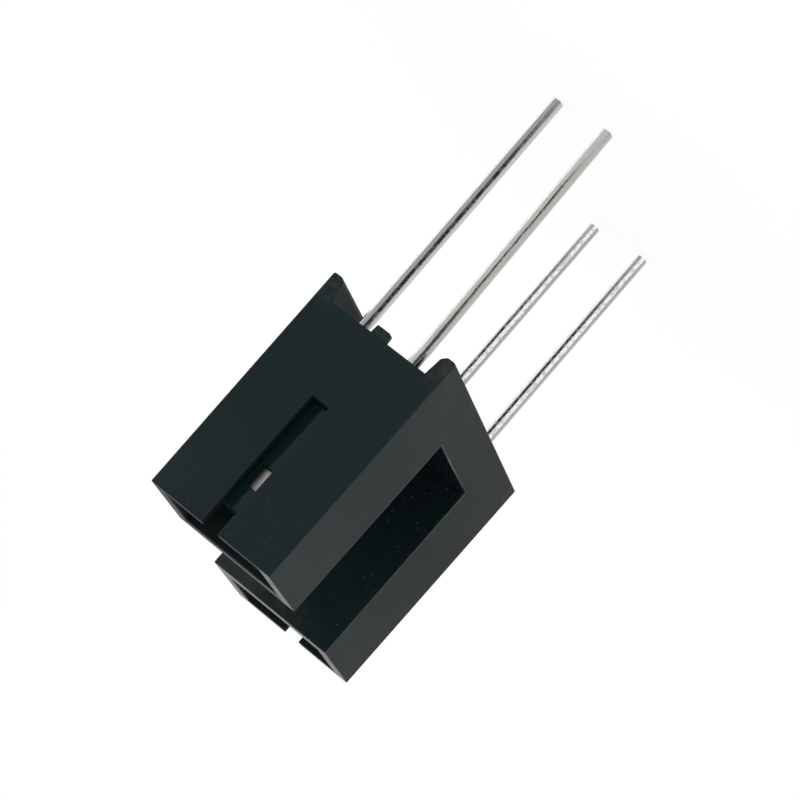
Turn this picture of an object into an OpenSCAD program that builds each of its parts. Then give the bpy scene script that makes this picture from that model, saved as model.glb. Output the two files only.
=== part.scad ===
// Slotted optical switch: a moulded U-shaped housing that holds an infrared emitter in one arm
// and a phototransistor in the other, looking at each other across the slot, on four solder leads.
// Millimetres. The origin is the middle of the seating plane. +Z points to the open end of the slot,
// X runs from arm to arm with the emitter at +X, and the leads go down.

/* [Slot and height] */
// Width of the slot at its floor
slot_w = 5.25; // [3:0.05:8]
// Depth of the slot, from the arm tips to its floor
slot_depth = 8.28; // [7:0.02:12]
// Thickness of the web below the slot
web_t = 1.05; // [0.6:0.05:2]
// Height of the skirts that stand on the board, which is also the height of the side notches
standoff_h = 0.97; // [0.5:0.01:1.6]
// Draft of the outer faces and of the slot, in degrees
draft_deg = 0.3; // [0.05:0.05:0.7]

/* [Walls] */
// Outer wall of each arm
outer_wall = 0.45; // [0.35:0.05:0.9]
// Wall between each arm's pocket and the slot
inner_wall = 0.9; // [0.5:0.05:1.5]
// Front and back walls
end_wall = 0.7; // [0.55:0.05:1.2]
// Chamfer on the inner edge of each skirt
skirt_chamfer = 0.19; // [0.05:0.01:0.25]
// How much thinner a skirt is above its chamfer than at its root
skirt_taper = 0.09; // [0.02:0.01:0.2]

/* [Windows] */
// Width of the slit in each outer wall
slit_w = 0.82; // [0.4:0.02:1.4]
// Length of that slit, from the arm tip
slit_len = 6.15; // [3:0.05:7]
// Width of the aperture that the beam passes
aperture_w = 0.5; // [0.2:0.05:1.2]
// Height of that aperture
aperture_h = 1.8; // [0.8:0.1:2.6]
// Distance of the beam below the arm tips
beam_drop = 2.65; // [2.4:0.05:3.6]

/* [Locating tab] */
// Width of the tab at the middle of each side notch, where it leaves the wall
tab_root_w = 0.7; // [0.6:0.02:1.4]
// Width of the tab at its end
tab_end_w = 0.62; // [0.3:0.02:0.64]
// How far the tab reaches into the notch
tab_h = 0.38; // [0.1:0.02:0.45]

/* [Emitter and detector packages] */
// Thickness of the resin body, without its lens
body_t = 1.15; // [1.05:0.05:2]
// Height of the resin body
body_h = 5.15; // [4:0.05:5.8]
// Height of the body's top above the beam
body_rise = 1.5; // [1.4:0.05:2]
// Resin beside the outer side of each lead
body_margin = 0.725; // [0.6:0.025:1.2]
// Corner radius of the resin body
body_r = 0.12; // [0.05:0.01:0.2]
// Radius of the lens
lens_r = 1.3; // [1.1:0.05:1.6]
// How far the lens stands out of the body
lens_rise = 1.0; // [0.6:0.05:1.05]
// Clearance between the lens and the wall that it looks through
lens_gap = 0.675; // [0.2:0.025:1.5]
// Clearance between the lens and the shoulders on either side of it
lens_side_gap = 0.3; // [0.1:0.05:0.5]
// Clearance between the body's front and the shoulders
body_gap = 0.05; // [0.02:0.01:0.1]
// Clearance between the body's back and the outer wall
back_gap = 0.2; // [0.05:0.05:0.4]
// Clearance between the body's narrow sides and the pocket
body_side_gap = 0.15; // [0.05:0.01:0.3]

/* [Leads] */
// Distance between the two leads of one package
lead_pitch = 2.5; // [2:0.02:3]
// Width of the square lead
lead_side = 0.45; // [0.3:0.05:0.6]
// Corner radius of the lead
lead_r = 0.13; // [0.05:0.01:0.14]
// Length of the leads below the seat
lead_len = 10.7; // [3:0.1:16]
// Distance of a lead's middle behind the front of the body
lead_set = 0.65; // [0.6:0.05:0.75]
// Clearance between a lead and the shelf beside it
lead_gap = 0.38; // [0.1:0.02:0.45]

/* [Chip and bond wire] */
// Width and height of the pad that carries the chip
pad_w = 1.0; // [0.7:0.05:1.3]
// Height of the bond post above the beam
post_rise = 0.3; // [0.1:0.05:0.8]
// Side of the square chip
die_w = 0.4; // [0.25:0.05:0.6]
// Thickness of the chip
die_t = 0.18; // [0.1:0.01:0.25]
// Diameter of the bond wire
wire_d = 0.06; // [0.04:0.01:0.08]
// How high the wire's loop stands above its bonds
wire_loop = 0.25; // [0.15:0.05:0.5]
// Diameter of the bonds at the wire's ends
bond_d = 0.16; // [0.12:0.01:0.2]
// Height of the bond on the chip
bond_h = 0.04; // [0.02:0.01:0.06]

/* [Hidden] */
$fn = 64;
// Overshoot of the cutting shapes
cut = 1;

floor_z = standoff_h + web_t;
housing_h = floor_z + slot_depth;
beam_z = housing_h - beam_drop;

body_w = lead_pitch + lead_side + 2 * body_margin;
body_top_z = beam_z + body_rise;
body_bottom_z = body_top_z - body_h;

pocket_w = body_w + 2 * body_side_gap;
housing_d = pocket_w + 2 * end_wall;

// Places across one arm, from the slot outwards
pocket_x = slot_w / 2 + inner_wall;
body_front_x = pocket_x + lens_gap + lens_rise;
lead_x = body_front_x + lead_set;
body_back_x = body_front_x + body_t;
wall_x = body_back_x + back_gap;
side_x = wall_x + outer_wall;
housing_w = 2 * side_x;

lens_x = body_front_x - lens_rise + lens_r;
lens_face_r = sqrt(pow(lens_r, 2) - pow(lens_r - lens_rise, 2));
lens_bay_w = 2 * (lens_face_r + lens_side_gap);
shelf_bay_w = lead_pitch + lead_side + 2 * lead_gap;
skirt_foot = end_wall - skirt_taper - skirt_chamfer;

lead_y = lead_pitch / 2;
pad_face_x = lead_x - lead_side / 2;
die_face_x = pad_face_x - die_t;
bond_x = die_face_x - bond_h;
wire_arc_r = (pow(lead_y, 2) / 4 + pow(wire_loop, 2)) / (2 * wire_loop);

// How far a drafted face moves in over a height
function draft(height) = height * tan(draft_deg);

// The detector's arm is the emitter's arm turned half round
module emitter_side() {
    children();
}

module detector_side() {
    rotate([0, 0, 180]) children();
}

module both_sides() {
    emitter_side() children();
    detector_side() children();
}

// A box between two corners
module box(low, high) {
    translate(low) cube(high - low);
}

// Extrudes an outline drawn in Y and Z along X
module along_x(from, to) {
    translate([from, 0, 0]) rotate([90, 0, 90]) linear_extrude(to - from) children();
}

// Extrudes an outline drawn in X and Z over the depth
module along_y(length) {
    rotate([90, 0, 0]) linear_extrude(length, center = true) children();
}

module rounded_rectangle(width, height, radius) {
    square([width - 2 * radius, height], center = true);
    square([width, height - 2 * radius], center = true);
    for (x = [-1, 1], y = [-1, 1]) {
        translate([x * (width / 2 - radius), y * (height / 2 - radius)]) circle(radius);
    }
}

// The U seen from the front, with drafted arms
module u_outline() {
    tip_out = side_x - draft(housing_h);
    tip_in = slot_w / 2 + draft(slot_depth);
    polygon([
        [-side_x, 0],
        [side_x, 0],
        [tip_out, housing_h],
        [tip_in, housing_h],
        [slot_w / 2, floor_z],
        [-slot_w / 2, floor_z],
        [-tip_in, housing_h],
        [-tip_out, housing_h],
    ]);
}

// The housing seen from the side
module side_outline() {
    tip = housing_d / 2 - draft(housing_h);
    polygon([[-housing_d / 2, 0], [housing_d / 2, 0], [tip, housing_h], [-tip, housing_h]]);
}

// The open space between the two skirts, under the web
module channel_outline() {
    foot = housing_d / 2 - skirt_foot;
    neck = foot - skirt_chamfer;
    root = neck - skirt_taper;
    polygon([
        [-foot, -cut],
        [foot, -cut],
        [foot, 0],
        [neck, skirt_chamfer],
        [root, standoff_h],
        [-root, standoff_h],
        [-neck, skirt_chamfer],
        [-foot, 0],
    ]);
}

// The tab hangs from the outer wall into the notch
module tab_outline() {
    polygon([
        [-tab_root_w / 2, standoff_h],
        [-tab_end_w / 2, standoff_h - tab_h],
        [tab_end_w / 2, standoff_h - tab_h],
        [tab_root_w / 2, standoff_h],
    ]);
}

module channel() {
    difference() {
        along_x(-side_x - cut, side_x + cut) channel_outline();
        both_sides() along_x(wall_x, side_x + cut) tab_outline();
    }
}

// The hollow of one arm, open at the tip and into the channel. Two shelves carry the body
// and two shoulders beside the lens keep its front in place.
module pocket() {
    half = pocket_w / 2;
    difference() {
        box([pocket_x, -half, standoff_h - cut], [wall_x, half, housing_h + cut]);
        for (end = [0, 1]) mirror([0, end, 0]) {
            box([pocket_x - cut, lens_bay_w / 2, standoff_h],
                [body_front_x - body_gap, half + cut, body_top_z]);
            box([pocket_x - cut, shelf_bay_w / 2, standoff_h],
                [wall_x + cut, half + cut, body_bottom_z]);
        }
    }
}

module outer_slit() {
    box([wall_x - cut / 2, -slit_w / 2, housing_h - slit_len],
        [side_x + cut, slit_w / 2, housing_h + cut]);
}

module aperture() {
    box([pocket_x - inner_wall - cut, -aperture_w / 2, beam_z - aperture_h / 2],
        [pocket_x + cut / 2, aperture_w / 2, beam_z + aperture_h / 2]);
}

module housing() {
    color([0.15, 0.18, 0.18])
    difference() {
        intersection() {
            along_y(housing_d) u_outline();
            along_x(-side_x, side_x) side_outline();
        }
        channel();
        both_sides() {
            pocket();
            outer_slit();
            aperture();
        }
    }
}

// A lead from its cut end up to a height inside the resin
module lead_stem(y, top_z) {
    translate([lead_x, y, -lead_len])
        linear_extrude(top_z + lead_len)
            rounded_rectangle(lead_side, lead_side, lead_r);
}

// The lead that carries the chip on a pad across the beam
module pad_lead() {
    lead_stem(lead_y, beam_z);
    box([pad_face_x, -pad_w / 2, beam_z - pad_w / 2],
        [pad_face_x + lead_side, lead_y + lead_side / 2, beam_z + pad_w / 2]);
}

// The lead that the bond wire ends on
module post_lead() {
    lead_stem(-lead_y, beam_z + post_rise);
}

module die() {
    box([die_face_x, -die_w / 2, beam_z - die_w / 2], [pad_face_x, die_w / 2, beam_z + die_w / 2]);
}

// A round bond on the lens side of a face
module bond(face_x, y, height) {
    translate([face_x - height, y, beam_z]) rotate([0, 90, 0]) cylinder(d = bond_d, h = height);
}

// The wire's loop, an arc between the two bonds
module wire_arc() {
    intersection() {
        translate([bond_x - wire_loop + wire_arc_r, -lead_y / 2, beam_z])
            rotate_extrude() translate([wire_arc_r, 0]) circle(d = wire_d, $fn = 32);
        box([bond_x - 2 * wire_loop, -lead_y - cut, beam_z - wire_d], [bond_x, cut, beam_z + wire_d]);
    }
}

module bond_wire() {
    wire_arc();
    bond(die_face_x, 0, bond_h);
    bond(pad_face_x, -lead_y, bond_h + die_t);
}

// The resin body with its lens towards the slot, moulded round the lead ends, the chip and the wire
module package() {
    difference() {
        union() {
            translate([0, 0, body_top_z - body_h / 2])
                along_x(body_front_x, body_back_x) rounded_rectangle(body_w, body_h, body_r);
            intersection() {
                translate([lens_x, 0, beam_z]) sphere(lens_r);
                box([lens_x - lens_r, -lens_r, beam_z - lens_r],
                    [body_front_x + body_t / 2, lens_r, beam_z + lens_r]);
            }
        }
        pad_lead();
        post_lead();
        die();
        bond_wire();
    }
}

module emitter_package() {
    color([0.20, 0.24, 0.25]) emitter_side() package();
}

module detector_package() {
    color([0.10, 0.09, 0.12]) detector_side() package();
}

module emitter_cathode_lead() {
    color("silver") emitter_side() pad_lead();
}

module emitter_anode_lead() {
    color("silver") emitter_side() post_lead();
}

module detector_collector_lead() {
    color("silver") detector_side() pad_lead();
}

module detector_emitter_lead() {
    color("silver") detector_side() post_lead();
}

module emitter_die() {
    color([0.35, 0.30, 0.38]) emitter_side() die();
}

module detector_die() {
    color([0.25, 0.28, 0.34]) detector_side() die();
}

module emitter_bond_wire() {
    color("gold") emitter_side() bond_wire();
}

module detector_bond_wire() {
    color("gold") detector_side() bond_wire();
}

housing();
emitter_package();
detector_package();
emitter_cathode_lead();
emitter_anode_lead();
detector_collector_lead();
detector_emitter_lead();
emitter_die();
detector_die();
emitter_bond_wire();
detector_bond_wire();
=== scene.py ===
"""Looks of a slotted optical switch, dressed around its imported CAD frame.

The frame's axes hold here too: +Z to the open end of the slot, +X to the emitter's arm, leads along -Z.
Blender works in metres. Sizes are written in millimetres and turned into metres with MM.
"""

import logging
import math
from abc import ABC, abstractmethod
from collections.abc import Mapping
from dataclasses import dataclass, field
from enum import Enum
from typing import Any

import bmesh
import bpy
import numpy as np
from mathutils import Matrix, Vector


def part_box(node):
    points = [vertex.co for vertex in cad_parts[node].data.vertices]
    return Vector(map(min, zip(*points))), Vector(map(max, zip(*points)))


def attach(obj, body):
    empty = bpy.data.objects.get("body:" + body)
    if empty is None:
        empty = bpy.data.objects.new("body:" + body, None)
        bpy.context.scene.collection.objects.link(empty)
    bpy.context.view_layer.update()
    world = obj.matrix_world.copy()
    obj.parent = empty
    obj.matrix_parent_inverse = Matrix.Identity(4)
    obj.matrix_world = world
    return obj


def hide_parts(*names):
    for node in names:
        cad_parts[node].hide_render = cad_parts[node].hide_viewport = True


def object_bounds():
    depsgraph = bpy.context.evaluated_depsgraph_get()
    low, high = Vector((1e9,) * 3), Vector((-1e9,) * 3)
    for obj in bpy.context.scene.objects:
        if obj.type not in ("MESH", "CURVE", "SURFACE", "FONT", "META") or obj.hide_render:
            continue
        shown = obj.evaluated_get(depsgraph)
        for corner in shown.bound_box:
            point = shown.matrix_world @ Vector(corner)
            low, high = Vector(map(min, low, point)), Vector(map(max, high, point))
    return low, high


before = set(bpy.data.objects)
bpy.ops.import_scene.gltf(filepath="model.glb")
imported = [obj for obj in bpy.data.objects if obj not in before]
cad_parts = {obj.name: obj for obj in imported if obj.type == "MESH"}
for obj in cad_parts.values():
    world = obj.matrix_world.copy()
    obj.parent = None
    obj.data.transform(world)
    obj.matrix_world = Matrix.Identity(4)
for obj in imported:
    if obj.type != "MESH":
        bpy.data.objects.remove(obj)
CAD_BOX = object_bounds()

MM = 0.001
BODY = "root"
LOG = logging.getLogger("slotted_switch")

Triple = tuple[float, float, float]
Colour = Triple
Span = tuple[float, float]

WHITE: Colour = (1.0, 1.0, 1.0)


def opaque(colour: Colour) -> tuple[float, float, float, float]:
    """The colour with a full alpha, as colour sockets want it."""
    return (*colour, 1.0)


class Side(Enum):
    """The two arms. The detector's arm is the emitter's arm turned half round."""

    EMITTER = 1
    DETECTOR = -1


class LeadForm(Enum):
    """What a lead ends in inside the resin."""

    PAD = "pad under the chip"
    POST = "post of the bond wire"


# Shader nodes


class Signal:
    """A shader socket that takes part in Python arithmetic."""

    def __init__(self, graph: "Graph", socket: bpy.types.NodeSocket) -> None:
        """Keeps the socket and the graph that new nodes go into."""
        self.graph = graph
        self.socket = socket

    def _math(self, operation: str, *values: "Number") -> "Signal":
        """Adds one Math node over the values."""
        return self.graph.node("ShaderNodeMath", {"operation": operation}, dict(enumerate(values)))

    def __add__(self, other: "Number") -> "Signal":
        """Sum."""
        return self._math("ADD", self, other)

    def __radd__(self, other: "Number") -> "Signal":
        """Sum with a number in front."""
        return self._math("ADD", other, self)

    def __sub__(self, other: "Number") -> "Signal":
        """Difference."""
        return self._math("SUBTRACT", self, other)

    def __rsub__(self, other: "Number") -> "Signal":
        """Difference from a number in front."""
        return self._math("SUBTRACT", other, self)

    def __mul__(self, other: "Number") -> "Signal":
        """Product."""
        return self._math("MULTIPLY", self, other)

    def __rmul__(self, other: "Number") -> "Signal":
        """Product with a number in front."""
        return self._math("MULTIPLY", other, self)

    def __abs__(self) -> "Signal":
        """Distance from zero."""
        return self._math("ABSOLUTE", self)

    def at_least(self, other: "Number") -> "Signal":
        """The larger of the two."""
        return self._math("MAXIMUM", self, other)

    def rise(self, low: float, high: float) -> "Signal":
        """A smooth step from 0 at low to 1 at high, also where low is the larger of the two."""
        if low > high:
            return 1.0 - self.rise(high, low)
        settings = {"interpolation_type": "SMOOTHSTEP"}
        return self.graph.node(
            "ShaderNodeMapRange", settings, {"Value": self, "From Min": low, "From Max": high}
        )


Number = Signal | float


class Graph:
    """Builds the nodes of one material or of the world."""

    def __init__(self, tree: bpy.types.NodeTree) -> None:
        """Starts from an empty tree."""
        self.tree = tree
        tree.nodes.clear()

    def node(
        self,
        kind: str,
        settings: Mapping[str, Any] | None = None,
        inputs: Mapping[str | int, Any] | None = None,
        output: str | int = 0,
    ) -> Signal:
        """Adds one node.

        Args:
            kind: The node's type.
            settings: Its own settings, which are set first.
            inputs: Values or links of its sockets, by name or number.
            output: The output socket to hand back.

        Returns:
            That output, or the node's first input where it has no output.
        """
        made = self.tree.nodes.new(kind)
        for name, value in (settings or {}).items():
            setattr(made, name, value)
        for key, value in (inputs or {}).items():
            if isinstance(value, Signal):
                self.tree.links.new(value.socket, made.inputs[key])
            else:
                made.inputs[key].default_value = value
        return Signal(self, made.outputs[output] if made.outputs else made.inputs[0])

    def place(self, stretch: Triple = (1.0, 1.0, 1.0)) -> Signal:
        """Object coordinates in millimetres, stretched along each axis."""
        coordinates = self.node("ShaderNodeTexCoord", output="Object")
        scale = tuple(s / MM for s in stretch)
        return self.node("ShaderNodeVectorMath", {"operation": "MULTIPLY"}, {0: coordinates, 1: scale})

    def axes(self, vector: Signal) -> tuple[Signal, Signal, Signal]:
        """The three components of a vector."""
        split = self.node("ShaderNodeSeparateXYZ", inputs={0: vector})
        outputs = split.socket.node.outputs
        return tuple(Signal(self, outputs[i]) for i in range(3))

    def noise(self, place: Signal, scale: float, detail: float = 3.0, rough: float = 0.5) -> Signal:
        """Noise of about `scale` waves per unit of the place vector, from 0 to 1."""
        inputs = {"Vector": place, "Scale": scale, "Detail": detail, "Roughness": rough}
        return self.node("ShaderNodeTexNoise", inputs=inputs)

    def blend(self, factor: Number, first: Signal | Colour, second: Signal | Colour) -> Signal:
        """A colour between two others."""
        colours = [c if isinstance(c, Signal) else opaque(c) for c in (first, second)]
        settings = {"data_type": "RGBA"}
        return self.node("ShaderNodeMix", settings, {0: factor, 6: colours[0], 7: colours[1]}, output=2)

    def bump(self, height: Signal, depth: float) -> Signal:
        """A normal from a height whose unit stands for `depth` metres."""
        return self.node("ShaderNodeBump", inputs={"Height": height, "Distance": depth, "Strength": 1.0})

    def sees_backdrop(self) -> Signal:
        """1 for the rays that show the backdrop: camera, mirror and see-through rays."""
        path = self.node("ShaderNodeLightPath").socket.node.outputs
        camera, glossy, through = (
            Signal(self, path[name]) for name in ("Is Camera Ray", "Is Glossy Ray", "Is Transmission Ray")
        )
        return camera.at_least(glossy).at_least(through)


# Finishes


@dataclass(frozen=True)
class Finish(ABC):
    """A surface finish, which makes one procedural material."""

    name: str

    @abstractmethod
    def shader(self, graph: Graph) -> Signal:
        """Builds the finish's nodes.

        Args:
            graph: The material's graph, still empty.

        Returns:
            The shader.
        """

    def material(self) -> bpy.types.Material:
        """The finish's material, made on first use."""
        made = bpy.data.materials.get(self.name)
        if made is None:
            made = bpy.data.materials.new(self.name)
            made.use_nodes = True
            graph = Graph(made.node_tree)
            graph.node("ShaderNodeOutputMaterial", inputs={"Surface": self.shader(graph)})
        return made


@dataclass(frozen=True)
class Wear:
    """How strongly a pale place shows, from 0 to 1: a steady part and a part that comes with the scuffs."""

    steady: float
    scuffed: float

    def over(self, scuffs: Signal) -> Signal:
        """The wear where the scuffs lie."""
        return self.steady + self.scuffed * scuffs


@dataclass(frozen=True, kw_only=True)
class MouldedPlastic(Finish):
    """Black moulded plastic: a fine satin grain, faint clouds of tone, dust, wear and a painted highlight at
    the feet, painted sheen along the front, the back and the slit's edges, and painted shade in the slot and
    the pockets.

    The ends of the arms come off the flat face of the mould and the slot off a polished core, so both are
    smoother than the rest, and the detector's arm is a little more matt than the emitter's. Sizes are in
    millimetres, in the part's frame. A span is where a mask rises from 0 to 1.
    """

    name: str = "moulded_black_plastic"
    tip_z: float
    side_x: float
    front_y: float
    slot_half: float = 2.7
    slot_floor_z: float = 2.0
    slot_blur: Span = (0.04, 0.06)
    slit_half: float = 0.41
    slit_end_z: float = 4.15
    slit_blur: Span = (0.02, 0.03)
    foot_z: float = 1.0
    tip_margin: float = 0.03
    tip_dull_x: Span = (-0.4, 0.4)
    rim: float = 0.06
    front_skin: Span = (0.12, 0.06)
    pocket_skin: Span = (0.02, 0.06)
    pocket_y: Span = (2.96, 2.92)
    pocket_z: Span = (2.0, 2.1)
    corner_y: Span = (1.9, 2.7)
    tab_y: Span = (0.44, 0.36)

    roughness: float = 0.61
    far_roughness: float = 0.05
    end_polish: float = 0.07
    tip_roughness: float = 0.34
    tip_dulling: float = 0.18
    slot_roughness: float = 0.20
    slit_roughness: float = 1.0
    cloud_gloss: float = 0.10
    grain_gloss: float = 0.14
    tip_cloud_gloss: float = 0.2
    specular: float = 0.165
    ior: float = 1.45
    grain_scale: float = 16.0
    grain_depth: float = 0.0006 * MM

    teal: Colour = (0.0030, 0.0132, 0.0136)
    violet: Colour = (0.0062, 0.0122, 0.0150)
    green: Colour = (0.0046, 0.0140, 0.0118)
    dust: Colour = (0.060, 0.066, 0.066)
    # A paler tone, for wear and for painted sheen and highlights.
    pale_wear_and_sheen: Colour = (0.042, 0.041, 0.040)
    warm: Colour = (0.050, 0.036, 0.018)
    shade: Colour = (0.0005, 0.0010, 0.0010)
    cloud_scale: float = 0.7
    cloud_span: Span = (0.38, 0.62)
    violet_share: float = 0.8
    patch_scale: float = 1.9
    patch_span: Span = (0.50, 0.66)
    green_share: float = 0.6
    far_warmth: float = 0.12
    scuff_scale: float = 3.2
    scuff_span: Span = (0.40, 0.66)
    feet: Wear = Wear(0.03, 0.10)
    corners: Wear = Wear(0.09, 0.35)
    tabs: Wear = Wear(0.08, 0.45)
    mouth: Wear = Wear(0.2, 0.3)
    front_painted_sheen: float = 0.25
    slit_painted_highlight: float = 0.14
    back_painted_sheen: float = 0.12
    slot_shade: float = 0.35
    pocket_shade: float = 0.5
    speck_scale: float = 9.0
    speck_span: Span = (0.76, 0.80)
    slot_speck_span: Span = (0.71, 0.75)
    dust_share: float = 0.6

    def shader(self, graph: Graph) -> Signal:
        """Builds the plastic."""
        place = graph.place()
        height = graph.axes(place)[2]
        grain = graph.noise(place, self.grain_scale, detail=2.0)
        clouds = graph.noise(place, self.cloud_scale, detail=2.0)
        slot = abs(graph.axes(place)[0]).rise(self.slot_half + self.slot_blur[0], self.slot_half)
        slot = slot * height.rise(self.slot_floor_z - self.slot_blur[1], self.slot_floor_z)
        return graph.node(
            "ShaderNodeBsdfPrincipled",
            inputs={
                "Base Color": self.colour(graph, place, clouds, slot),
                "Roughness": self.gloss(graph, place, clouds, slot, grain),
                "IOR": self.ior,
                "Specular IOR Level": self.specular,
                "Normal": graph.bump(grain, self.grain_depth),
            },
        )

    def gloss(self, graph: Graph, place: Signal, clouds: Signal, slot: Signal, grain: Signal) -> Signal:
        """The roughness: satin walls, matt slits, a polished slot and flat tips.

        Args:
            graph: The material's nodes.
            place: Object coordinates in millimetres.
            clouds: Slow noise.
            slot: 1 on the walls of the slot.
            grain: Fine noise.

        Returns:
            The roughness.
        """
        emitter_way, back, height = graph.axes(place)
        across, along = abs(emitter_way), abs(back)
        far = emitter_way.rise(0.4 * self.side_x, -0.6 * self.side_x)
        satin = self.roughness + self.far_roughness * far
        satin = satin - self.end_polish * height.rise(0.3 * self.tip_z, self.tip_z)
        satin = satin + self.cloud_gloss * (clouds - 0.5) + self.grain_gloss * (grain - 0.5)
        slit = along.rise(self.slit_half + self.slit_blur[0], self.slit_half)
        slit = slit * across.rise(0.90 * self.side_x, 0.92 * self.side_x)
        slit = slit * height.rise(self.slit_end_z - self.slit_blur[1], self.slit_end_z)
        satin = satin + slit * (self.slit_roughness - satin)
        cored = satin + slot * (self.slot_roughness - satin)
        dulled = back.rise(-0.84 * self.front_y, -0.76 * self.front_y) * emitter_way.rise(*self.tip_dull_x)
        end = self.tip_roughness + self.tip_dulling * dulled + self.tip_cloud_gloss * (clouds - 0.5)
        tip = height.rise(self.tip_z - self.tip_margin, self.tip_z - 0.5 * self.tip_margin)
        return cored + tip * (end - cored)

    def colour(self, graph: Graph, place: Signal, clouds: Signal, slot: Signal) -> Signal:
        """The clouds of tone, with wear, painted sheen and painted shade over them, and dust on top.

        Args:
            graph: The material's nodes.
            place: Object coordinates in millimetres.
            clouds: Slow noise that moves the tone.
            slot: 1 on the walls of the slot, where more dust stays.

        Returns:
            The colour.
        """
        patches = graph.noise(place, self.patch_scale, detail=3.0).rise(*self.patch_span)
        far = graph.axes(place)[0].rise(0.0, -self.side_x)
        specks = graph.noise(place, self.speck_scale, detail=1.0)
        dust = specks.rise(*self.speck_span) + slot * specks.rise(*self.slot_speck_span)
        tone = graph.blend(self.violet_share * clouds.rise(*self.cloud_span), self.teal, self.violet)
        tone = graph.blend(self.green_share * patches, tone, self.green)
        tone = graph.blend(self.far_warmth * far, tone, self.warm)
        # Wear, painted sheen and painted highlights all lighten towards one paler tone.
        tone = graph.blend(self.wear(graph, place, slot), tone, self.pale_wear_and_sheen)
        tone = graph.blend(self.depth(graph, place, slot), tone, self.shade)
        return graph.blend(self.dust_share * dust, tone, self.dust)

    def wear(self, graph: Graph, place: Signal, slot: Signal) -> Signal:
        """Where the plastic is paler: wear at the feet and tabs, painted highlights at the corners of the
        feet and along the slit's edges, painted sheen on the front and back, and paler slot walls at the open
        end. Of several pale places, the strongest shows.

        Args:
            graph: The material's nodes.
            place: Object coordinates in millimetres.
            slot: 1 on the walls of the slot.

        Returns:
            The wear and painted sheen, from 0 to 1.
        """
        emitter_way, back, height = graph.axes(place)
        across, along = abs(emitter_way), abs(back)
        scuffs = graph.noise(place, self.scuff_scale, detail=4.0, rough=0.6).rise(*self.scuff_span)
        # The corners of the feet: wear, with a painted highlight over it.
        corner = along.rise(*self.corner_y) * across.rise(0.80 * self.side_x, 0.90 * self.side_x)
        foot = self.feet.over(scuffs) + corner * self.corners.over(scuffs)
        foot = foot * height.rise(1.6 * self.foot_z, 0.5 * self.foot_z)
        tab = along.rise(*self.tab_y) * height.rise(self.foot_z, 0.9 * self.foot_z) * self.tabs.over(scuffs)
        # Painted sheen on the front and back faces and along their edges, fading out upwards.
        front = along.rise(*(self.front_y - skin for skin in self.front_skin))
        front = front * height.rise(6.0 * self.foot_z, 0.0)
        # Painted highlight along the edges of the slit in the outer face.
        past = (along - self.slit_half).at_least(self.slit_end_z - height)
        edge = past.rise(-self.slit_blur[0], 0.0) * past.rise(1.6 * self.rim, 0.8 * self.rim)
        edge = edge * across.rise(0.97 * self.side_x, 0.985 * self.side_x)
        # Painted sheen that grows towards the back and towards the ends of the arms.
        back_sheen_mask = back.rise(0.0, self.front_y) * height.rise(0.5 * self.tip_z, self.tip_z)
        # The slot's walls turn paler towards the open end, on the front half.
        mouth = slot * height.rise(0.86 * self.tip_z, 0.96 * self.tip_z) * back.rise(-self.front_y, 0.0)
        pale_wear_and_sheen = foot.at_least(tab).at_least(self.slit_painted_highlight * edge).at_least(self.front_painted_sheen * front)
        return pale_wear_and_sheen.at_least(self.back_painted_sheen * back_sheen_mask).at_least(mouth * self.mouth.over(scuffs))

    def depth(self, graph: Graph, place: Signal, slot: Signal) -> Signal:
        """How far the slot and the pockets of the arms turn dark, away from the light.

        Args:
            graph: The material's nodes.
            place: Object coordinates in millimetres.
            slot: 1 on the walls of the slot.

        Returns:
            The shade, from 0 to 1.
        """
        emitter_way, back, height = graph.axes(place)
        across, along = abs(emitter_way), abs(back)
        pocket = across.rise(*(self.slot_half + skin for skin in self.pocket_skin))
        pocket = pocket * along.rise(*self.pocket_y)
        pocket = pocket * across.rise(0.985 * self.side_x, 0.98 * self.side_x) * height.rise(*self.pocket_z)
        pocket = pocket * height.rise(self.tip_z - self.tip_margin, self.tip_z - 2.0 * self.tip_margin)
        deep = slot * height.rise(0.8 * self.tip_z, 0.4 * self.tip_z)
        return (self.slot_shade * deep).at_least(self.pocket_shade * pocket)


class Tin(Enum):
    """Tones of the plating, of its painted sides and of the painted reflections and highlights on it."""

    SHINE = (0.99, 0.99, 0.99)
    PALE = (0.58, 0.58, 0.57)
    SOFT = (0.53, 0.525, 0.505)
    WARM = (0.48, 0.47, 0.445)
    DIM = (0.41, 0.40, 0.385)
    MID = (0.36, 0.36, 0.355)
    DIM_REFLECTION = (0.08, 0.08, 0.078)
    DARK = (0.025, 0.025, 0.025)


@dataclass(frozen=True)
class PaintedReflectionLine:
    """A painted reflection along a lead: a dark line where it mirrors dark surroundings, a shining one for a
    highlight.

    Places round the lead are in turns, from the side that faces -X, counter-clockwise seen from above.
    The line fades out between two heights, in millimetres above the seat.
    """

    turn: float
    reach: float
    tone: Tin
    wander: float = 0.02
    ragged: float = 0.02
    breaks: float = 0.3
    fades: Span = (-20.0, -30.0)


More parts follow.
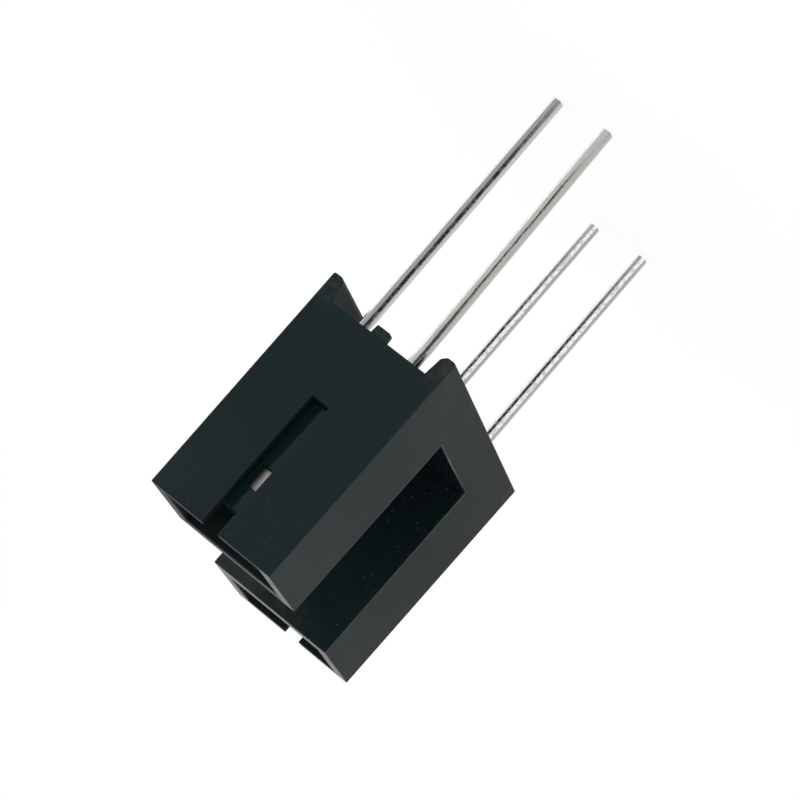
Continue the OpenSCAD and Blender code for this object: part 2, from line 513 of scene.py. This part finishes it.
@dataclass(frozen=True)
class TinPlate(Finish):
    """Tin plated lead: light grey metal with a painted tone on each side and painted reflections in lines
    along it, faint streaks and a fine grit.

    Inside the resin the metal is etched matt. The piece's UV map gives the place round the lead in turns,
    and the height in millimetres.
    """

    lines: tuple[PaintedReflectionLine, ...]
    right: Tin
    left: Tin
    seed: float
    streak: Colour = (0.28, 0.28, 0.275)
    roughness: float = 0.28
    etched: float = 0.10
    resin_z: float = 4.0
    girth: float = 1.6
    tone_turns: Span = (0.40, 0.49)
    streak_stretch: Span = (9.0, 0.5)
    streak_scale: float = 1.6
    streak_span: Span = (0.45, 0.75)
    streak_share: float = 0.5
    streak_gloss: float = 0.12
    grit_scale: float = 11.0
    grit_span: Span = (0.48, 0.70)
    grit_share: float = 0.3
    grit_gloss: float = 0.10
    wave_scale: float = 0.9
    fleck_scale: float = 5.0
    fleck_span: Span = (0.46, 0.62)
    bump_depth: float = 0.002 * MM

    def shader(self, graph: Graph) -> Signal:
        """Builds the tin, paints its two sides, and lays the painted reflection lines on it one after the
        other.
        """
        turn, height, _ = graph.axes(graph.node("ShaderNodeUVMap", {"uv_map": SolderLead.UV_NAME}))
        round_way, long_way = self.streak_stretch
        sizes = {0: turn * round_way * self.girth, 1: height * long_way, 2: self.seed}
        drawn = graph.node("ShaderNodeCombineXYZ", inputs=sizes)
        streaks = graph.noise(drawn, self.streak_scale, detail=4.0, rough=0.6)
        skin = graph.node("ShaderNodeCombineXYZ", inputs={0: turn * self.girth, 1: height, 2: self.seed})
        wave = graph.noise(skin, self.wave_scale, detail=3.0)
        flecks = graph.noise(skin, self.fleck_scale, detail=2.0).rise(*self.fleck_span)
        grit = graph.noise(skin, self.grit_scale, detail=3.0, rough=0.65)
        # Painted light: each side of the lead takes its own tone, as the light falls on it.
        plate = graph.blend(turn.rise(*self.tone_turns), self.right.value, self.left.value)
        dull = self.streak_share * streaks.rise(*self.streak_span)
        dull = dull + self.grit_share * grit.rise(*self.grit_span)
        colour = graph.blend(dull, plate, self.streak)
        # The lines are painted reflections: dark ones of dark surroundings, shining ones of bright light.
        for line in self.lines:
            offset = turn - line.turn + line.wander * (wave - 0.5) + line.ragged * (grit - 0.5)
            whole = (1.0 - line.breaks * flecks) * height.rise(line.fades[1], line.fades[0])
            inked = abs(offset).rise(line.reach, 0.5 * line.reach) * whole
            colour = graph.blend(inked, colour, line.tone.value)
        matt = self.roughness + self.etched * height.rise(0.9 * self.resin_z, self.resin_z)
        return graph.node(
            "ShaderNodeBsdfPrincipled",
            inputs={
                "Base Color": colour,
                "Metallic": 1.0,
                "Roughness": matt + self.streak_gloss * (streaks - 0.5) + self.grit_gloss * (grit - 0.5),
                "Normal": graph.bump(0.5 * streaks + 0.5 * grit, self.bump_depth),
            },
        )


@dataclass(frozen=True, kw_only=True)
class SmokyResin(Finish):
    """Smoky casting resin, dark where it is deep and clear over the chip's pad, close under its back.

    The clear place is a box in millimetres, in the part's frame. The back is cast a little hollow, sunk to
    one side and twisted along its height, and the top leans towards the lens.
    """

    name: str = "smoky_resin"
    clear_low: Triple
    clear_high: Triple
    top_z: float
    deep: Colour = (0.0050, 0.0140, 0.0150)
    cloud: Colour = (0.0070, 0.0160, 0.0175)
    roughness: float = 0.14
    gloss: float = 0.18
    clearness: float = 0.90
    soft: Triple = (0.05, 0.20, 0.04)
    crisp: float = 0.05
    flow_scale: float = 0.8
    flow_gloss: float = 0.06
    ripple_scale: float = 1.5
    ior: float = 1.5
    sink: float = 0.072
    twist: float = 0.009
    lean: float = 0.10
    ripple: float = 0.012

    def shader(self, graph: Graph) -> Signal:
        """Builds the resin."""
        place = graph.place()
        flow = graph.noise(place, self.flow_scale, detail=2.0)
        axes = graph.axes(place)
        clear: Number = self.clearness
        for axis, low, high, soft in zip(axes, self.clear_low, self.clear_high, self.soft):
            clear = clear * axis.rise(low, low + min(soft, self.crisp)) * axis.rise(high, high - soft)
        tilt = self.sink + self.twist * (self.top_z - axes[2])
        ripples = graph.noise(graph.place(stretch=(0.0, 1.0, 1.0)), self.ripple_scale, detail=2.0)
        hollow = self.ripple * ripples - tilt * axes[1] + self.lean * axes[0]
        return graph.node(
            "ShaderNodeBsdfPrincipled",
            inputs={
                "Base Color": graph.blend(flow, self.deep, self.cloud),
                "Roughness": self.roughness + self.flow_gloss * (flow - 0.5),
                "IOR": self.ior,
                "Specular IOR Level": self.gloss,
                "Normal": graph.bump(hollow, MM),
                "Alpha": 1.0 - clear,
            },
        )


@dataclass(frozen=True)
class DarkResin(Finish):
    """Dark resin that passes infrared light only."""

    name: str = "dark_resin"
    deep: Colour = (0.010, 0.008, 0.012)
    violet: Colour = (0.024, 0.016, 0.028)
    roughness: float = 0.16
    ior: float = 1.5
    flow_scale: float = 0.7
    flow_gloss: float = 0.08
    pit_scale: float = 6.0
    pit_depth: float = 0.0008 * MM

    def shader(self, graph: Graph) -> Signal:
        """Builds the resin."""
        place = graph.place()
        flow = graph.noise(place, self.flow_scale, detail=2.0)
        return graph.node(
            "ShaderNodeBsdfPrincipled",
            inputs={
                "Base Color": graph.blend(flow, self.deep, self.violet),
                "Roughness": self.roughness + self.flow_gloss * flow,
                "IOR": self.ior,
                "Normal": graph.bump(graph.noise(place, self.pit_scale), self.pit_depth),
            },
        )


@dataclass(frozen=True)
class SawnChip(Finish):
    """Semiconductor chip with faint saw marks on its sides."""

    name: str = "sawn_chip"
    face: Colour = (0.085, 0.085, 0.115)
    mark: Colour = (0.16, 0.15, 0.17)
    mark_stretch: Triple = (30.0, 2.0, 2.0)
    mark_span: Span = (0.4, 0.7)
    mark_gloss: float = 0.2
    mark_depth: float = 0.0006 * MM
    metallic: float = 0.3
    roughness: float = 0.28

    def shader(self, graph: Graph) -> Signal:
        """Builds the chip."""
        marks = graph.noise(graph.place(stretch=self.mark_stretch), 2.0, detail=3.0)
        return graph.node(
            "ShaderNodeBsdfPrincipled",
            inputs={
                "Base Color": graph.blend(marks.rise(*self.mark_span), self.face, self.mark),
                "Metallic": self.metallic,
                "Roughness": self.roughness + self.mark_gloss * (marks - 0.5),
                "Normal": graph.bump(marks, self.mark_depth),
            },
        )


@dataclass(frozen=True)
class GoldWire(Finish):
    """Gold bond wire."""

    name: str = "gold_wire"
    gold: Colour = (0.83, 0.61, 0.23)
    shade: Colour = (0.66, 0.45, 0.15)
    tone_scale: float = 18.0
    tone_gloss: float = 0.15
    roughness: float = 0.22

    def shader(self, graph: Graph) -> Signal:
        """Builds the gold."""
        tone = graph.noise(graph.place(), self.tone_scale, detail=2.0)
        return graph.node(
            "ShaderNodeBsdfPrincipled",
            inputs={
                "Base Color": graph.blend(tone, self.shade, self.gold),
                "Metallic": 1.0,
                "Roughness": self.roughness + self.tone_gloss * (tone - 0.5),
            },
        )


@dataclass(frozen=True)
class WhitePaper(Finish):
    """The floor: white paper that reads as pure white, apart from the object's soft shadow."""

    name: str = "white_paper"
    pulp: Colour = (0.985, 0.985, 0.985)
    fibre: Colour = WHITE
    fibre_scale: float = 4.0
    shadow_share: float = 0.12

    def shader(self, graph: Graph) -> Signal:
        """Mixes paper that takes shadows with plain white, for the rays that show the backdrop."""
        fibres = graph.noise(graph.place(), self.fibre_scale)
        tone = graph.blend(fibres, self.pulp, self.fibre)
        paper = graph.node("ShaderNodeBsdfDiffuse", inputs={"Color": tone})
        white = graph.node("ShaderNodeEmission", inputs={"Color": opaque(WHITE), "Strength": 1.0})
        share = graph.sees_backdrop() * (1.0 - self.shadow_share)
        return graph.node("ShaderNodeMixShader", inputs={0: share, 1: paper, 2: white})


# Meshes


@dataclass
class GridMesh:
    """Gathers surfaces, each a grid of points, into one mesh.

    Every grid runs along a path in its rows and round a closed profile in its columns, and both of its
    ends are closed by a flat face.
    """

    points: list[np.ndarray] = field(default_factory=list)
    faces: list[list[int]] = field(default_factory=list)
    turns: list[np.ndarray] = field(default_factory=list)

    def add(self, grid: np.ndarray, turns: Span = (0.0, 1.0)) -> "GridMesh":
        """Adds one surface.

        Args:
            grid: Points of shape (rows, columns, 3). Seen against the path's direction, the columns run
                counter-clockwise, so that the faces point outwards.
            turns: The place in turns, for the UV map, of the first column and of its return.

        Returns:
            The same mesh, for the next surface.
        """
        rows, columns, _ = grid.shape
        first = sum(len(p) for p in self.points)
        index = first + np.arange(rows * columns).reshape(rows, columns)
        beside = np.roll(index, -1, axis=1)
        quads = np.stack([index[:-1], beside[:-1], beside[1:], index[1:]], axis=-1).reshape(-1, 4)
        step = (turns[1] - turns[0]) / columns
        turn = turns[0] + np.arange(columns) * step
        turn_beside = turn + step
        corner_turn = np.stack([turn, turn_beside, turn_beside, turn], axis=-1)
        self.points.append(grid.reshape(-1, 3))
        self.faces += quads.tolist() + [index[0, ::-1].tolist(), index[-1].tolist()]
        self.turns += [np.tile(corner_turn, (rows - 1, 1)).ravel(), turn[::-1], turn]
        return self

    def piece(self, name: str, uv_name: str) -> bpy.types.Object:
        """Makes the object, with a UV map of turns round the profile and height in millimetres.

        Args:
            name: The object's name.
            uv_name: The UV map's name.

        Returns:
            The object, in the scene.
        """
        points = np.concatenate(self.points)
        mesh = bpy.data.meshes.new(name)
        mesh.from_pydata(points.tolist(), [], self.faces)
        corner_points = np.zeros(len(mesh.loops), dtype=np.int32)
        mesh.loops.foreach_get("vertex_index", corner_points)
        places = np.stack([np.concatenate(self.turns), points[corner_points, 2] / MM], axis=-1)
        mesh.uv_layers.new(name=uv_name).data.foreach_set("uv", places.astype(np.float32).ravel())
        mesh.shade_smooth()
        mesh.update()
        piece = link(bpy.data.objects.new(name, mesh))
        keep_flat(piece, weight=50)
        return piece


def keep_flat(piece: bpy.types.Object, weight: int) -> None:
    """Lets large faces shade flat beside rounded edges, by weighting the normals with the faces' areas."""
    shading = piece.modifiers.new("flat_faces", "WEIGHTED_NORMAL")
    shading.mode = "FACE_AREA"
    shading.weight = weight


def link(piece: bpy.types.Object) -> bpy.types.Object:
    """Puts an object into the scene."""
    bpy.context.scene.collection.objects.link(piece)
    return piece


def middle_z(node: str) -> float:
    """Height of the middle of a CAD node."""
    low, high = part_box(node)
    return (low.z + high.z) / 2


def dress(piece: bpy.types.Object, finish: Finish) -> None:
    """Gives an object one finish all over."""
    piece.data.materials.clear()
    piece.data.materials.append(finish.material())


def set_up(piece: bpy.types.Object, finish: Finish, slot: str, *nodes: str) -> None:
    """Dresses a new piece, sets it on the part's body and lets it stand for its CAD nodes.

    Args:
        piece: The new piece.
        finish: Its finish.
        slot: The record's material slot. It is not used.
        nodes: The CAD nodes it stands for.
    """
    dress(piece, finish)
    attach(piece, BODY)
    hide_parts(*nodes)
    LOG.info("%s stands for %s, %d faces", piece.name, ", ".join(nodes), len(piece.data.polygons))


def rounded_outline(width: float, height: float, radius: float, per_corner: int, per_side: int) -> np.ndarray:
    """A rectangle with round corners, centred on zero.

    Each quarter is an arc about its corner's centre. The straight sides between the arcs are shared out
    evenly, so that a later change into a circle keeps its points apart.

    Args:
        width: Size along the first axis.
        height: Size along the second axis.
        radius: Radius of the corners.
        per_corner: Points on each arc.
        per_side: Points inside each straight side.

    Returns:
        Points of shape (count, 2), counter-clockwise.
    """
    quarter = np.linspace(0.0, math.pi / 2, per_corner)
    start = np.arange(4) * math.pi / 2
    angles = start[:, None] + quarter[None, :]
    signs = np.array([[1, 1], [-1, 1], [-1, -1], [1, -1]])
    centres = signs * (np.array([width, height]) / 2 - radius)
    arcs = centres[:, None, :] + radius * np.stack([np.cos(angles), np.sin(angles)], axis=-1)
    share = (np.arange(1, per_side + 1) / (per_side + 1))[None, :, None]
    ends = arcs[:, -1:, :]
    sides = ends + (np.roll(arcs, -1, axis=0)[:, :1, :] - ends) * share
    return np.concatenate([arcs, sides], axis=1).reshape(-1, 2)


def broken_edges(start: float, end: float, edge: float) -> tuple[np.ndarray, np.ndarray]:
    """Where the rings of a block lie whose two ends have broken edges.

    The ring on an end face is drawn in by the whole edge, the ring three tenths of an edge further on by
    three tenths of it, and the ring a whole edge further on not at all.

    Args:
        start: Place of the first end along the path.
        end: Place of the other end.
        edge: Size of the broken edge.

    Returns:
        The places of the six rings along the path, and how far each is drawn in.
    """
    step = edge * np.array([0.0, 0.3, 1.0])
    onward = math.copysign(1.0, end - start)
    places = np.concatenate([start + onward * step, end - onward * step[::-1]])
    return places, np.concatenate([step[::-1], step])


# Sub-assemblies


def housing_plastic() -> MouldedPlastic:
    """The housing's plastic, laid out over the housing of the frame."""
    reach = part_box("housing")[1] / MM
    return MouldedPlastic(tip_z=reach.z, side_x=reach.x, front_y=reach.y)


@dataclass
class Housing:
    """The moulded U-shaped housing, with the small edge radii of a moulded part."""

    node: str = "housing"
    corner_radius: float = 0.11 * MM
    edge_radius: float = 0.05 * MM
    inner_radius: float = 0.008 * MM
    edge_steps: int = 3
    sharp_deg: float = 12.0
    merge_distance: float = 0.0005 * MM
    flat_deg: float = 0.05
    upright_share: float = 0.96
    finish: Finish = field(default_factory=housing_plastic)

    def build(self) -> bpy.types.Object:
        """Copies the CAD housing, merges its loose triangles into whole faces and rounds its outer edges."""
        shape = bmesh.new()
        shape.from_mesh(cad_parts[self.node].data)
        bmesh.ops.remove_doubles(shape, verts=shape.verts, dist=self.merge_distance)
        bmesh.ops.dissolve_limit(
            shape, angle_limit=math.radians(self.flat_deg), verts=shape.verts, edges=shape.edges
        )
        shares = self.radius_shares(shape)
        mesh = bpy.data.meshes.new("moulded_housing")
        shape.to_mesh(mesh)
        shape.free()
        mesh.shade_smooth()
        mesh.attributes.new("bevel_weight_edge", "FLOAT", "EDGE").data.foreach_set("value", shares)
        piece = link(bpy.data.objects.new("moulded_housing", mesh))
        edges = piece.modifiers.new("edge_radius", "BEVEL")
        edges.width = self.corner_radius
        edges.segments = self.edge_steps
        edges.limit_method = "WEIGHT"
        keep_flat(piece, weight=100)
        set_up(piece, self.finish, "housing", self.node)
        return piece

    def radius_shares(self, shape: bmesh.types.BMesh) -> np.ndarray:
        """The radius of each edge as a share of the corner radius.

        The four upright corners of the housing take the whole of it, the other outer edges the smaller
        edge radius, inner edges hardly any, and flat joints none.

        Args:
            shape: The housing's faces.

        Returns:
            One share for each edge.
        """
        angles = np.array([edge.calc_face_angle_signed(0.0) for edge in shape.edges])
        ends = np.array([[tuple(end.co) for end in edge.verts] for edge in shape.edges])
        reach = np.abs(np.array(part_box(self.node))).min(axis=0)
        upright = (np.abs(ends[..., :2]) > self.upright_share * reach[:2]).all(axis=(1, 2))
        radii = np.where(upright, self.corner_radius, self.edge_radius)
        radii = np.where(angles < 0.0, self.inner_radius, radii)
        return np.where(np.abs(angles) > math.radians(self.sharp_deg), radii / self.corner_radius, 0.0)


@dataclass
class SolderLead:
    """One tinned lead, from its cut end below the board to the pad or post in the resin."""

    UV_NAME = "round_and_along"
    PLAIN_TURN = 0.25

    node: str
    form: LeadForm
    chip: str
    package: str
    finish: Finish
    columns: int = 56
    rows: int = 96
    squareness: float = 3.7
    ripple: float = 0.0035 * MM
    tip_radius: float = 0.03 * MM
    seat_bend: float = 0.0
    tip_bend: float = 0.0
    cut_short: float = 0.0
    pad_edge: float = 0.05 * MM

    def build(self) -> bpy.types.Object:
        """Builds the stem, adds the pad where the lead has one, and dresses them."""
        low, high = (np.array(corner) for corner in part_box(self.node))
        thickness = high[0] - low[0]
        outer_y = low[1] if abs(low[1]) > abs(high[1]) else high[1]
        centre = np.array([(low[0] + high[0]) / 2, outer_y - math.copysign(thickness / 2, outer_y)])
        beam_z = middle_z(self.chip)
        mesh = GridMesh()
        bottom = low[2] + self.cut_short
        mesh.add(self.stem(centre, thickness / 2, bottom, beam_z if self.form is LeadForm.PAD else high[2]))
        if self.form is LeadForm.PAD:
            mesh.add(self.pad(low, high, beam_z), turns=(self.PLAIN_TURN, self.PLAIN_TURN))
        piece = mesh.piece(f"tinned_{self.node}", self.UV_NAME)
        set_up(piece, self.finish, "lead", self.node)
        return piece

    def stem(self, centre: np.ndarray, half: float, bottom: float, top: float) -> np.ndarray:
        """The lead's stem.

        A point is the axis at its height plus a superellipse of the angle: radius = half width over the
        p-th root of (|cos|^p + |sin|^p). A few waves along the height and round the lead move the radius
        by the ripple of the tin, and at the cut end a quarter circle draws it in by the tip radius. Handling
        has bent the axis a little along Y: a smooth step from the resin to the seat, straight from there on.

        Args:
            centre: Place of the axis in X and Y.
            half: Half the lead's width.
            bottom: Height of the cut end.
            top: Height of the inner end.

        Returns:
            Points of shape (rows, columns, 3), bottom first.
        """
        swing = np.linspace(0.0, math.pi / 2, 6)[:-1]
        heights = np.concatenate(
            [
                bottom + self.tip_radius * (1.0 - np.cos(swing)),
                np.linspace(bottom + self.tip_radius, top, self.rows),
            ]
        )
        draw_in = np.zeros_like(heights)
        draw_in[: len(swing)] = self.tip_radius * (1.0 - np.sin(swing))
        angle = math.pi + np.arange(self.columns) / self.columns * math.tau
        p = self.squareness
        shape = half / (np.abs(np.cos(angle)) ** p + np.abs(np.sin(angle)) ** p) ** (1.0 / p)
        z = heights[:, None] / MM
        phase = 7.0 * centre[0] / MM + 3.0 * centre[1] / MM
        waves = np.sin(1.9 * z + phase + 2.0 * angle) + 0.6 * np.sin(4.3 * z - 2.0 * phase - 3.0 * angle)
        radius = shape[None, :] - draw_in[:, None] - self.ripple * (0.5 + 0.3 * waves)
        resin_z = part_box(self.package)[0].z
        free = np.clip(1.0 - heights / resin_z, 0.0, 1.0)
        below = np.clip(heights / bottom, 0.0, 1.0)
        bend = self.seat_bend * free**2 * (3.0 - 2.0 * free) + (self.tip_bend - self.seat_bend) * below
        flat = centre + radius[..., None] * np.stack([np.cos(angle), np.sin(angle)], axis=-1)
        flat[..., 1] += bend[:, None]
        return np.concatenate([flat, np.broadcast_to(heights[:, None, None], (*radius.shape, 1))], axis=-1)

    def pad(self, low: np.ndarray, high: np.ndarray, beam_z: float) -> np.ndarray:
        """The pad under the chip: a rounded rectangle in Y and Z, carried along X with broken edges.

        Args:
            low: Lowest corner of the lead.
            high: Highest corner of the lead.
            beam_z: Height of the chip's middle.

        Returns:
            Points of shape (rows, columns, 3).
        """
        width = high[1] - low[1]
        height = 2.0 * (high[2] - beam_z)
        along, inset = broken_edges(low[0], high[0], self.pad_edge)
        outline = rounded_outline(width, height, 2.0 * self.pad_edge, per_corner=6, per_side=3)
        shrink = 1.0 - 2.0 * inset[:, None] / np.array([width, height])
        rings = outline[None, :, :] * shrink[:, None, :] + np.array([(low[1] + high[1]) / 2, beam_z])
        x = np.broadcast_to(along[:, None, None], (*rings.shape[:2], 1))
        return np.concatenate([x, rings], axis=-1)


@dataclass
class LensPackage:
    """The cast resin package of the emitter or of the detector, with its lens towards the slot."""

    UV_NAME = "round_and_height"

    side: Side
    node: str
    chip: str
    slot: str
    finish: Finish
    lens_rise: float = 1.0 * MM
    lens_radius: float = 1.3 * MM
    corner_radius: float = 0.12 * MM
    edge: float = 0.005 * MM
    dome_rows: int = 18
    dome_top_rad: float = 0.02

    def build(self) -> bpy.types.Object:
        """Builds the package's outside as one closed surface and dresses it."""
        piece = GridMesh().add(self.surface()).piece(f"cast_{self.node}", self.UV_NAME)
        set_up(piece, self.finish, self.slot, self.node)
        return piece

    def surface(self) -> np.ndarray:
        """The body from its back to its front, and the lens on it.

        Rows run from the back to the top of the lens. The body's rings are one rounded rectangle, drawn in
        a little at both ends. On the front it turns into the lens's foot circle at the beam's height, and
        the dome's rings are that circle on a sphere: the radius times the sine and cosine of the rise.

        Returns:
            Points of shape (rows, columns, 3).
        """
        low, high = (np.array(corner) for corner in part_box(self.node))
        back = max(abs(low[0]), abs(high[0]))
        front = min(abs(low[0]), abs(high[0])) + self.lens_rise
        size = (high - low)[1:]
        middle = (high + low)[1:] / 2
        outline = rounded_outline(size[0], size[1], self.corner_radius, per_corner=6, per_side=14)
        body_x, inset = broken_edges(back, front, self.edge)
        body = outline[None, :, :] * (1.0 - 2.0 * inset[:, None] / size)[:, None, :]
        centre_x = front - self.lens_rise + self.lens_radius
        foot = math.acos((centre_x - front) / self.lens_radius)
        rise = np.linspace(foot, self.dome_top_rad, self.dome_rows)
        beam = np.array([0.0, middle_z(self.chip) - middle[1]])
        direction = np.arctan2(outline[:, 1] - beam[1], outline[:, 0])
        circle = np.stack([np.cos(direction), np.sin(direction)], axis=-1)
        dome = self.lens_radius * np.sin(rise)[:, None, None] * circle[None, :, :] + beam
        dome_x = centre_x - self.lens_radius * np.cos(rise)
        rings = np.concatenate([body, dome]) * np.array([-1.0, 1.0]) + middle
        x = np.concatenate([body_x, dome_x])
        points = np.concatenate([np.broadcast_to(x[:, None, None], (*rings.shape[:2], 1)), rings], axis=-1)
        points[..., :2] *= self.side.value
        return points


@dataclass
class Studio:
    """White floor and surround, a soft lamp and the camera at the photograph's viewing angle."""

    azimuth_deg: float = 67.902
    elevation_deg: float = 8.876
    roll_deg: float = -138.638
    distance: float = 124.57 * MM
    aim: Triple = (0.291 * MM, 0.399 * MM, 1.185 * MM)
    focal_mm: float = 145.58
    sensor_mm: float = 36.0
    floor_half: float = 900.0 * MM
    floor_drop: float = 0.02 * MM
    surround_level: float = 1.0
    lamp_distance: float = 220.0 * MM

    def build(self) -> None:
        """Builds the floor, the light and the camera."""
        self.floor()
        self.surround()
        self.lamp("top_lamp", azimuth_deg=110.0, elevation_deg=75.0, size=200.0 * MM, level=0.1)
        self.camera()
        bpy.context.scene.view_settings.view_transform = "Standard"

    def toward(self, azimuth_deg: float, elevation_deg: float) -> Vector:
        """The direction from the object to a place round it. Azimuth 0 is -Y and 90 is +X."""
        azimuth, elevation = math.radians(azimuth_deg), math.radians(elevation_deg)
        level = math.cos(elevation)
        return Vector((math.sin(azimuth) * level, -math.cos(azimuth) * level, math.sin(elevation)))

    def floor(self) -> None:
        """Lays the paper under the ends of the leads."""
        height = CAD_BOX[0].z - self.floor_drop
        half = self.floor_half
        corners = [(-half, -half, height), (half, -half, height), (half, half, height), (-half, half, height)]
        mesh = bpy.data.meshes.new("floor")
        mesh.from_pydata(corners, [], [(0, 1, 2, 3)])
        floor = link(bpy.data.objects.new("floor", mesh))
        dress(floor, WhitePaper())

    def surround(self) -> None:
        """Makes the surround an even white light."""
        world = bpy.data.worlds.new("white_surround")
        world.use_nodes = True
        graph = Graph(world.node_tree)
        inputs = {"Color": opaque(WHITE), "Strength": self.surround_level}
        light = graph.node("ShaderNodeBackground", inputs=inputs)
        graph.node("ShaderNodeOutputWorld", inputs={"Surface": light})
        bpy.context.scene.world = world

    def lamp(self, name: str, azimuth_deg: float, elevation_deg: float, size: float, level: float) -> None:
        """Hangs one square soft lamp.

        Args:
            name: The lamp's name.
            azimuth_deg: Its direction round the object.
            elevation_deg: Its height above the horizon.
            size: Side of its face.
            level: The share of full white that it adds to a white surface facing it.
        """
        lamp = bpy.data.lights.new(name, "AREA")
        lamp.shape = "SQUARE"
        lamp.size = size
        lamp.energy = level * math.pi**2 * self.lamp_distance**2
        holder = link(bpy.data.objects.new(name, lamp))
        direction = self.toward(azimuth_deg, elevation_deg)
        holder.location = direction * self.lamp_distance
        holder.rotation_euler = direction.to_track_quat("Z", "Y").to_euler()

    def camera(self) -> None:
        """Stands the camera where the photograph was taken from, rolled as the photograph is."""
        lens = bpy.data.cameras.new("camera")
        lens.lens = self.focal_mm
        lens.sensor_width = self.sensor_mm
        lens.clip_start = 1.0 * MM
        lens.clip_end = 10.0
        back = self.toward(self.azimuth_deg, self.elevation_deg)
        turn = back.to_track_quat("Z", "Y").to_matrix() @ Matrix.Rotation(math.radians(self.roll_deg), 3, "Z")
        holder = link(bpy.data.objects.new("camera", lens))
        holder.matrix_world = Matrix.Translation(Vector(self.aim) + back * self.distance) @ turn.to_4x4()
        bpy.context.scene.camera = holder


def dress_nodes(finish: Finish, *nodes: str) -> None:
    """Gives CAD nodes that stay in sight their finish."""
    for name in nodes:
        dress(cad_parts[name], finish)
        LOG.info("%s keeps its CAD shape, in %s", name, finish.name)


def emitter_resin(clear_drop: float = 1.97, clear_side: float = 0.62) -> SmokyResin:
    """The emitter's resin, clear from its back down to the chip's pad.

    Args:
        clear_drop: How far the clear place reaches down from the pad's top, in half heights of the pad.
        clear_side: How far it reaches from the middle towards +Y, in the same measure.

    Returns:
        The finish.
    """
    low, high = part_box("emitter_cathode_lead")
    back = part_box("emitter_package")[1]
    half = high.z - middle_z("emitter_die")
    clear_low = Vector((high.x, low.y, high.z - clear_drop * half)) / MM
    clear_high = Vector((back.x + half, clear_side * half, high.z)) / MM
    return SmokyResin(clear_low=tuple(clear_low), clear_high=tuple(clear_high), top_z=back.z / MM)


def tinned(
    node: str, form: LeadForm, *lines: PaintedReflectionLine, right: Tin, left: Tin, seed: float, **handling: float
) -> SolderLead:
    """One lead with its plating.

    Args:
        node: The lead. Its name starts with the arm that holds it.
        form: What it ends in.
        lines: The painted reflection lines on it, in the order in which they are laid. A painted highlight
            comes first.
        right: Tone painted on its right side, for the light that falls there.
        left: Tone painted on its left side, for the light that falls there.
        seed: Picks its streaks and grit.
        handling: The bends and the cut that handling gave it, as fields of the lead.

    Returns:
        The lead.
    """
    arm = node.split("_")[0]
    # A painted highlight that every lead has, on the side towards the light.
    painted_highlight = PaintedReflectionLine(0.610, 0.050, Tin.SHINE, wander=0.0, breaks=0.2)
    plate = TinPlate(f"tin_on_{node}", (painted_highlight, *lines), right, left, seed)
    return SolderLead(node, form, f"{arm}_die", f"{arm}_package", plate, **handling)


def solder_leads() -> tuple[SolderLead, ...]:
    """The four leads, each with its own painted reflection lines, bends and cut."""
    # Dark lines are painted reflections of dark surroundings and shining ones painted highlights; some fade
    # along the lead.
    broad = PaintedReflectionLine(0.420, 0.060, Tin.DARK, ragged=0.04, breaks=0.15, fades=(-6.5, -15.0))
    root = PaintedReflectionLine(0.430, 0.050, Tin.DARK, ragged=0.05, breaks=0.1, fades=(-0.5, -4.0))
    fine = PaintedReflectionLine(0.444, 0.034, Tin.DIM_REFLECTION, wander=0.03, ragged=0.05, breaks=0.25, fades=(-7.5, -9.8))
    side = PaintedReflectionLine(0.516, 0.044, Tin.DARK, ragged=0.06, breaks=0.45, fades=(-4.5, -12.0))
    flank = PaintedReflectionLine(0.516, 0.046, Tin.DARK, ragged=0.06, breaks=0.3, fades=(-5.5, -13.0))
    painted_glint = PaintedReflectionLine(0.418, 0.060, Tin.SHINE, ragged=0.07, breaks=0.5)
    return (
        tinned(
            "emitter_cathode_lead", LeadForm.PAD, broad, right=Tin.PALE, left=Tin.MID, seed=1.0,
            seat_bend=-0.088 * MM, tip_bend=0.072 * MM, cut_short=0.13 * MM,
        ),
        tinned(
            "emitter_anode_lead", LeadForm.POST, root, fine, right=Tin.WARM, left=Tin.SOFT, seed=2.0,
            seat_bend=-0.065 * MM, tip_bend=0.235 * MM,
        ),
        tinned(
            "detector_collector_lead", LeadForm.PAD, flank, painted_glint, right=Tin.DIM, left=Tin.WARM, seed=3.0,
            seat_bend=0.203 * MM, tip_bend=0.275 * MM, cut_short=0.13 * MM,
        ),
        tinned(
            "detector_emitter_lead", LeadForm.POST, side, painted_glint, right=Tin.DIM, left=Tin.WARM, seed=4.0,
            seat_bend=0.185 * MM, tip_bend=0.245 * MM, cut_short=0.22 * MM,
        ),
    )


def main() -> None:
    """Builds the switch and its studio in order."""
    logging.basicConfig(level=logging.INFO, format="%(name)s: %(message)s")
    Housing().build()
    for lead in solder_leads():
        lead.build()
    LensPackage(Side.EMITTER, "emitter_package", "emitter_die", "emitter_resin", emitter_resin()).build()
    LensPackage(Side.DETECTOR, "detector_package", "detector_die", "detector_resin", DarkResin()).build()
    dress_nodes(SawnChip(), "emitter_die", "detector_die")
    dress_nodes(GoldWire(), "emitter_bond_wire", "detector_bond_wire")
    Studio().build()


if __name__ == "__main__":
    main()
